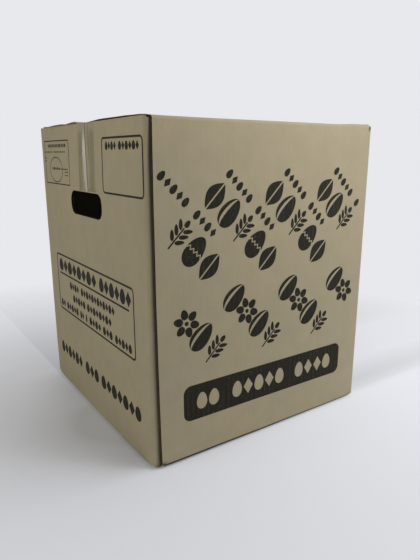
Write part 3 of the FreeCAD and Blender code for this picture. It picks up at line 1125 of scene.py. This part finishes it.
def board_place(tree, across=1.0, along=1.0):
    """The place on the flat board in metres: across the flutes, then along them. Both may be scaled."""
    node = new(tree, "UVMap")
    node.uv_map = "board"
    scale = new(tree, "VectorMath")
    scale.operation = "MULTIPLY"
    feed(tree, scale.inputs, node.outputs[0], (across, along, 1.0))
    return scale.outputs[0]


def split(tree, vector):
    node = new(tree, "SeparateXYZ")
    tree.links.new(vector, node.inputs[0])
    return node.outputs


def washboard(tree):
    """The flutes under the liner, from -1 to 1."""
    across = split(tree, board_place(tree))[0]
    return maths(tree, "SINE", maths(tree, "MULTIPLY", across, 2 * math.pi / PITCH))


def grey(tree, value):
    node = new(tree, "CombineColor")
    feed(tree, node.inputs, value, value, value)
    return node.outputs[0]


def kraft(name, tan, olive, fibre):
    """Brown liner: cloudy tone, fibres across the flutes, dark flecks, the flutes showing faintly, and
    painted shade mixed in from the mesh.
    """
    made, tree, shader = material(name)
    cloud = between(tree, noise(tree, 13.0, 4.0), 0.34, 0.66)
    patches = between(tree, noise(tree, 46.0), 0.35, 0.65, 0.965, 1.03)
    fibres = noise(tree, 1.0, 4.0, 0.7, board_place(tree, 330.0, 1500.0))
    grain = between(tree, fibres, 0.3, 0.7, 1 - fibre, 1 + fibre)
    ribs = washboard(tree)
    flecks = noise(tree, 1.0, 2.0, 0.5, board_place(tree, 900.0, 1700.0))
    tone = maths(tree, "MULTIPLY", patches, grain)
    for part in (maths(tree, "MULTIPLY_ADD", ribs, 0.006, 1.0), between(tree, flecks, 0.71, 0.78, 1.0, 0.72)):
        tone = maths(tree, "MULTIPLY", tone, part)
    colour = mixed(tree, 1.0, mixed(tree, cloud, tan, olive), grey(tree, tone), "MULTIPLY")
    # painted shade: towards dark brown as far as the mesh's painted shade value says
    colour = mixed(tree, point_value(tree, "painted_shade"), colour, (0.052, 0.037, 0.018, 1))
    height = maths(tree, "ADD", maths(tree, "MULTIPLY", ribs, 0.5), fibres)
    surface(tree, shader, colour, between(tree, fibres, 0.2, 0.8, 0.72, 0.86), 0.18, height, 0.014 * MM)
    return made


def speckled(name, dark, light, grain, rough, shine, depth):
    """A rough surface with one noise in its colour and its relief."""
    made, tree, shader = material(name)
    fuzz = noise(tree, *grain)
    surface(tree, shader, mixed(tree, fuzz, dark, light), rough, shine, fuzz, depth)
    return made


def cut_board(name, dark, light):
    """The liners' torn rims: warm brown with short fibres."""
    return speckled(name, dark, light, (1900.0, 3.0, 0.7), 0.9, 0.15, 0.12 * MM)


def dark_hollow(name, deep, shallow):
    """The inside of a flute or a crevice: brown paper darkened with painted shade, for where little light
    reaches.
    """
    return speckled(name, deep, shallow, (420.0, 4.0, 0.6), 0.95, 0.05, 0.3 * MM)


def printing_ink():
    """Flexo ink on board: thin along the flutes' hollows, with pinholes where the paper shows."""
    made, tree, shader = material("printing_ink")
    cloud = noise(tree, 60.0, 4.0, 0.6)
    lines = between(tree, washboard(tree), 0.2, 1.0)
    thin = maths(tree, "MULTIPLY", lines, between(tree, cloud, 0.4, 0.7))
    holes = between(tree, noise(tree, 620.0, 2.0, 0.6), 0.66, 0.74)
    colour = mixed(tree, thin, (0.024, 0.021, 0.014, 1), (0.046, 0.040, 0.027, 1))
    colour = mixed(tree, maths(tree, "MULTIPLY", holes, 0.55), colour, (0.20, 0.175, 0.125, 1))
    surface(tree, shader, colour, 0.7, 0.1, cloud, 0.02 * MM)
    return made


def clear_film():
    """Packing tape: clear and glossy where it sticks, milky where air is under it."""
    made, tree, shader = material("clear_tape")
    milk, grip = point_value(tree, "air"), point_value(tree, "grip")
    specks = between(tree, noise(tree, 300.0), 0.45, 0.75)
    clear = mixed(tree, specks, (0.165, 0.165, 0.045, 1), (0.215, 0.215, 0.07, 1))
    colour = mixed(tree, milk, clear, (0.84, 0.75, 0.63, 1))
    cover = maths(tree, "MULTIPLY_ADD", grip, 0.13, 0.015)
    tree.links.new(maths(tree, "MULTIPLY_ADD", milk, 0.84, cover), shader.inputs["Alpha"])
    rough = between(tree, specks, 0.0, 1.0, 0.22, 0.34)
    surface(tree, shader, colour, rough, 0.1, noise(tree, 90.0), 0.1 * MM)
    return made


def finishes():
    return {
        "liner": kraft("kraft_board", (0.492, 0.415, 0.268, 1), (0.466, 0.404, 0.266, 1), 0.05),
        "inside": kraft("kraft_inside", (0.44, 0.37, 0.235, 1), (0.42, 0.36, 0.235, 1), 0.07),
        "edge": cut_board("board_cut_edge", (0.30, 0.235, 0.15, 1), (0.47, 0.39, 0.27, 1)),
        # near black: painted shade on the hand hole's cut edge
        "shaded_hole_rim": cut_board("hole_cut_edge_painted_shade", (0.03, 0.023, 0.013, 1), (0.07, 0.055, 0.034, 1)),
        # these three linings are dark with painted shade
        "crevice": dark_hollow("crevice_painted_shade", (0.022, 0.016, 0.008, 1), (0.05, 0.038, 0.02, 1)),
        "flute": dark_hollow("open_flute_painted_shade", (0.055, 0.042, 0.026, 1), (0.17, 0.135, 0.085, 1)),
        "hollow": dark_hollow("flute_hollow_painted_shade", (0.15, 0.115, 0.07, 1), (0.30, 0.245, 0.16, 1)),
    }


def add_air(tape):
    """Marks each point of the tape with how much air lies under it and how closely it sticks."""
    mesh = tape.data
    points = np.zeros(len(mesh.vertices) * 3)
    mesh.vertices.foreach_get("co", points)
    x, y, z = points.reshape(-1, 3).T
    on_end = x < LEFT + 5 * MM
    air = np.where(on_end & (z < TOP), tape_air(y, z), 0.06)
    grip = np.where(on_end, tape_grip(y, z), tape_grip(y, np.full_like(z, 0.33)) * 0.8)
    for name, values in (("air", air), ("grip", grip)):
        layer = mesh.attributes.new(name, "FLOAT", "POINT")
        layer.data.foreach_set("value", np.clip(values, 0, 1).astype(np.float32))


# ---- Floor, light and camera
PAPER_WHITE = (0.807, 0.814, 0.847, 1)
FLOOR_COLOUR = (0.915, 0.93, 0.975, 1)
FLOOR_HALF = 6.0
FADE_MIDDLE, FADE_START, FADE_END, FADE_POWER = (-0.1305, -0.0304, 0), 0.056, 0.751, 0.692
AMBIENT = 0.2


def seen_by(tree, *rays):
    """1 for these kinds of ray and 0 for the others."""
    path = new(tree, "LightPath")
    seen = path.outputs[f"Is {rays[0]} Ray"]
    for ray in rays[1:]:
        seen = maths(tree, "MAXIMUM", seen, path.outputs[f"Is {ray} Ray"])
    return seen


def blended(tree, share, first, second, end):
    """Ends a tree with two shaders, mixed."""
    mix = new(tree, "MixShader")
    feed(tree, mix.inputs, share, first.outputs[0], second.outputs[0])
    tree.links.new(mix.outputs[0], end.inputs["Surface"])


def lit_floor(tree, shader):
    """Pale paper with a painted shadow close beside the left panel, strongest near its two ends."""
    x, y, _ = split(tree, space(tree))

    def two(operation, *values):
        return maths(tree, operation, *values)

    def ramp(*values):
        return between(tree, *values)

    # painted shadow: the floor darkened beside the left panel, in a narrow band and a wide one
    narrow = two("MULTIPLY", ramp(x, LEFT, LEFT - 5 * MM, 0.18, 0.0), ramp(y, 0.025, 0.125, 1.0, 1.9))
    wide = two("POWER", ramp(x, LEFT, LEFT - 80 * MM, 1.0, 0.0), 2.0)
    far_half = two("SUBTRACT", ramp(y, 0.025, 0.075, 0.0, 0.31), ramp(y, 0.128, 0.155, 0.0, 0.25))
    near_half = two("SUBTRACT", ramp(y, -0.07, -0.115, 0.0, 0.3), ramp(y, -0.125, -0.15, 0.0, 0.3))
    ends = two("MULTIPLY", wide, two("ADD", far_half, near_half))
    behind_front = ramp(y, FRONT - 1 * MM, FRONT + 12 * MM)
    shade = two("MULTIPLY", behind_front, two("ADD", narrow, ends))
    surface(tree, shader, mixed(tree, shade, FLOOR_COLOUR, (0, 0, 0, 1)), 0.9, 0.1)


def stage_floor():
    """A pale floor that fades into the backdrop's white away from the box."""
    made, tree, shader = material("studio_floor")
    lit_floor(tree, shader)
    glow = new(tree, "Emission")
    glow.inputs["Color"].default_value = PAPER_WHITE
    far = new(tree, "VectorMath")
    far.operation = "DISTANCE"
    feed(tree, far.inputs, space(tree), FADE_MIDDLE)
    share = maths(tree, "POWER", between(tree, far.outputs["Value"], FADE_START, FADE_END), FADE_POWER)
    share = maths(tree, "MULTIPLY", share, seen_by(tree, "Camera", "Glossy"))
    end = next(node for node in tree.nodes if node.type == "OUTPUT_MATERIAL")
    blended(tree, share, shader, glow, end)
    mesh = bpy.data.meshes.new("studio_floor")
    corners = [(x * FLOOR_HALF, y * FLOOR_HALF, 0) for x, y in ((-1, -1), (1, -1), (1, 1), (-1, 1))]
    mesh.from_pydata(corners, [], [(0, 1, 2, 3)])
    mesh.materials.append(made)
    floor = add_object("studio_floor", mesh)


def world():
    made = bpy.data.worlds.new("studio")
    bpy.context.scene.world = made
    made.use_nodes = True
    tree = made.node_tree
    tree.nodes.clear()
    end = new(tree, "OutputWorld")
    lit, seen = (new(tree, "Background") for _ in range(2))
    feed(tree, lit.inputs, (1, 1, 1, 1), AMBIENT)
    feed(tree, seen.inputs, PAPER_WHITE)
    blended(tree, seen_by(tree, "Camera", "Transmission", "Glossy"), lit, seen, end)


def lamp(name, place_at, size, power, colour=(1, 1, 1)):
    """A square soft lamp at place_at that looks at the box."""
    data = bpy.data.lights.new(name, "AREA")
    data.shape = "SQUARE"
    data.size = size
    data.energy = power
    data.color = colour
    made = add_object(name, data)
    made.location = place_at
    made.rotation_euler = (LAMP_AIM - Vector(place_at)).to_track_quat("-Z", "Y").to_euler()
    made.visible_camera = False


LAMP_AIM = Vector((0, 0, 0.17))
WARM, COOL = (1.0, 0.985, 0.91), (0.985, 1.005, 1.09)
LAMPS = (                        # name, place, size, power, colour
    ("key_high", (0.3, -0.4, 1.2), 0.3, 2.16, COOL),
    ("key_right", (0.15, -0.43, 0.5), 0.15, 0.30),
    ("key_left", (0.05, -0.35, 0.55), 0.15, 0.29),
    ("right", (0.6, -0.2, 0.3), 0.25, 1.27, COOL),
    ("right_low", (0.45, -0.4, 0.2), 0.25, 0.25),
    ("left", (-1.0, 0.1, 0.4), 0.5, 1.16, WARM),
    ("left_near", (-0.5, -0.1, 0.5), 0.3, 0.21, WARM),
    ("back", (0.15, 0.8, 0.35), 0.4, 0.6),
)
CAMERA_PLACE = (-0.35945, -0.55708, 0.31640)
CAMERA_TURN = (75.962, -0.050, -34.402)      # degrees
LENS, SENSOR = 32.290, 36                    # millimetres


def camera():
    data = bpy.data.cameras.new("camera")
    data.sensor_width = SENSOR
    data.lens = LENS
    made = add_object("camera", data)
    made.location = CAMERA_PLACE
    made.rotation_euler = Euler([math.radians(angle) for angle in CAMERA_TURN])
    bpy.context.scene.camera = made


def main():
    view = bpy.context.scene.view_settings
    view.view_transform = "Standard"
    camera()
    stage_floor()
    world()
    for each in LAMPS:
        lamp(*each)

    board = finishes()
    box = carton(board)
    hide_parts("carton")
    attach(box, "root")

    film = {"film": clear_film()}
    tape = top_tape(film)
    add_air(tape)
    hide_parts("top_tape")
    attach(tape, "root")
    strip = bottom_tape(film)
    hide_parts("bottom_tape")
    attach(strip, "root")

    inks = {"ink": printing_ink(), "bare": board["liner"]}
    for made in (front_print(inks), end_print({"ink": inks["ink"]})):
        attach(made, "root")


main()
